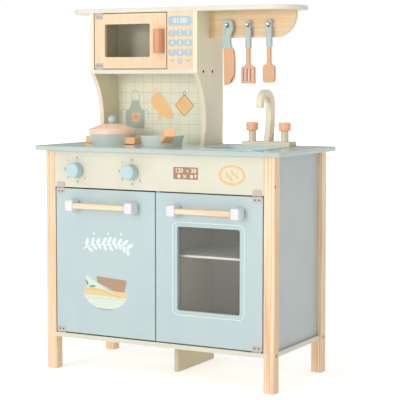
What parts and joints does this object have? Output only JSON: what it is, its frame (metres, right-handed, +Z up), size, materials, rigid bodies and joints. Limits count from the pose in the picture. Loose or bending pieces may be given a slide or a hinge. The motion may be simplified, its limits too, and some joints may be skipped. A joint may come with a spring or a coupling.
{
  "type": "toy kitchen",
  "caption": "Wooden toy kitchen with two cupboard doors, a drop-in sink and tap, a small microwave in a tower, hanging tools, a lidded pot and a pan.",
  "frame": {"origin": "on the floor, in the middle of the cupboard's width and depth, at the underside of the middle foot", "axes": "+X to the right along the front, +Y to the back, +Z up"},
  "size_m": [0.648, 0.305, 0.832],
  "materials": {
    "natural_wood": "matte",
    "cream_board": "satin",
    "blue_board": "satin",
    "microwave_wood": "matte",
    "brown_wood": "matte",
    "white_wood": "satin",
    "blue_knob": "satin",
    "orange_knob": "satin",
    "pivot_plastic": "matte",
    "clear_window": "gloss",
    "steel": "satin",
    "peg_disc": "satin",
    "basin_plastic": "gloss",
    "tool_wood": "satin",
    "pan_metal": "satin",
    "pink_lid": "satin"
  },
  "bodies": {
    "cabinet": {"post_fl": "natural_wood", "post_rl": "natural_wood", "post_fr": "natural_wood", "post_rr": "natural_wood", "bottom_board": "cream_board", "side_panel_l": "blue_board", "side_panel_r": "blue_board", "back_panel": "cream_board", "centre_divider": "cream_board", "oven_shelf": "cream_board", "centre_foot": "cream_board", "control_panel": "cream_board", "worktop": "blue_board", "tap_base": "cream_board", "tap_spout": "cream_board", "tap_dowels": "cream_board", "frame_pivots": "pivot_plastic", "tower_side_l": "cream_board", "tower_side_r": "cream_board", "tower_back": "cream_board", "microwave_floor": "cream_board", "top_board": "cream_board", "microwave_panel": "microwave_wood", "microwave_frame_pivots": "pivot_plastic", "hook_rail": "natural_wood", "rail_pegs": "steel", "peg_discs": "peg_disc", "frame_bolts": "steel"},
    "door_left": {"door_l": "blue_board", "handle_caps_l": "white_wood", "handle_bar_l": "natural_wood", "door_pivots_l": "pivot_plastic"},
    "door_right": {"door_r": "blue_board", "oven_pane": "clear_window", "handle_caps_r": "white_wood", "handle_bar_r": "natural_wood", "door_pivots_r": "pivot_plastic"},
    "microwave_door": {"microwave_door": "microwave_wood", "microwave_pane": "clear_window", "microwave_grip": "brown_wood", "microwave_door_pivots": "pivot_plastic"},
    "control_left": {"control_knob_l": "blue_knob", "knob_spindle_l": "steel"},
    "control_right": {"control_knob_r": "blue_knob", "knob_spindle_r": "steel"},
    "tap_turn_left": {"tap_knob_l": "orange_knob"},
    "tap_turn_right": {"tap_knob_r": "orange_knob"},
    "basin": {"sink_basin": "basin_plastic"},
    "pot": {"pot_body": "pan_metal", "pot_handles": "orange_knob"},
    "lid": {"pot_lid": "pink_lid", "lid_knob": "blue_knob"},
    "pan": {"pan_body": "pan_metal", "pan_handle": "orange_knob"},
    "knife": {"knife": "tool_wood"},
    "turner": {"turner": "tool_wood"},
    "spatula": {"spatula": "tool_wood"}
  },
  "joints": [
    {"name": "door_left_swing", "type": "hinge", "parent": "cabinet", "child": "door_left", "pos_m": [-0.2575, -0.1325, 0.254], "axis": [0, 0, -1], "range_deg": [0, 100]},
    {"name": "door_right_swing", "type": "hinge", "parent": "cabinet", "child": "door_right", "pos_m": [0.2575, -0.1325, 0.254], "axis": [0, 0, 1], "range_deg": [0, 100]},
    {"name": "microwave_door_swing", "type": "hinge", "parent": "cabinet", "child": "microwave_door", "pos_m": [-0.2455, 0.0135, 0.756], "axis": [0, 0, -1], "range_deg": [0, 100]},
    {"name": "control_left_turn", "type": "hinge", "parent": "cabinet", "child": "control_left", "pos_m": [-0.206, -0.1375, 0.4625], "axis": [0, -1, 0], "continuous": true},
    {"name": "control_right_turn", "type": "hinge", "parent": "cabinet", "child": "control_right", "pos_m": [-0.061, -0.1375, 0.4625], "axis": [0, -1, 0], "continuous": true},
    {"name": "tap_left_turn", "type": "hinge", "parent": "cabinet", "child": "tap_turn_left", "pos_m": [0.124, 0.0925, 0.56], "axis": [0, 0, 1], "continuous": true},
    {"name": "tap_right_turn", "type": "hinge", "parent": "cabinet", "child": "tap_turn_right", "pos_m": [0.206, 0.0925, 0.56], "axis": [0, 0, 1], "continuous": true},
    {"name": "basin_lift", "type": "slide", "parent": "cabinet", "child": "basin", "axis": [0, 0, 1], "range_m": [0, 0.06]},
    {"name": "pot_lift", "type": "slide", "parent": "cabinet", "child": "pot", "axis": [0, 0, 1], "range_m": [0, 0.04]},
    {"name": "lid_lift", "type": "slide", "parent": "pot", "child": "lid", "axis": [0, 0, 1], "range_m": [0, 0.04]},
    {"name": "pan_lift", "type": "slide", "parent": "cabinet", "child": "pan", "axis": [0, 0, 1], "range_m": [0, 0.06]},
    {"name": "knife_swing", "type": "hinge", "parent": "cabinet", "child": "knife", "pos_m": [0.0773, 0.06, 0.7915], "axis": [0, -1, 0], "range_deg": [-15, 3]},
    {"name": "turner_swing", "type": "hinge", "parent": "cabinet", "child": "turner", "pos_m": [0.1296, 0.06, 0.7915], "axis": [0, -1, 0], "range_deg": [-3, 3]},
    {"name": "spatula_swing", "type": "hinge", "parent": "cabinet", "child": "spatula", "pos_m": [0.1819, 0.06, 0.7915], "axis": [0, -1, 0], "range_deg": [-3, 15]}
  ]
}
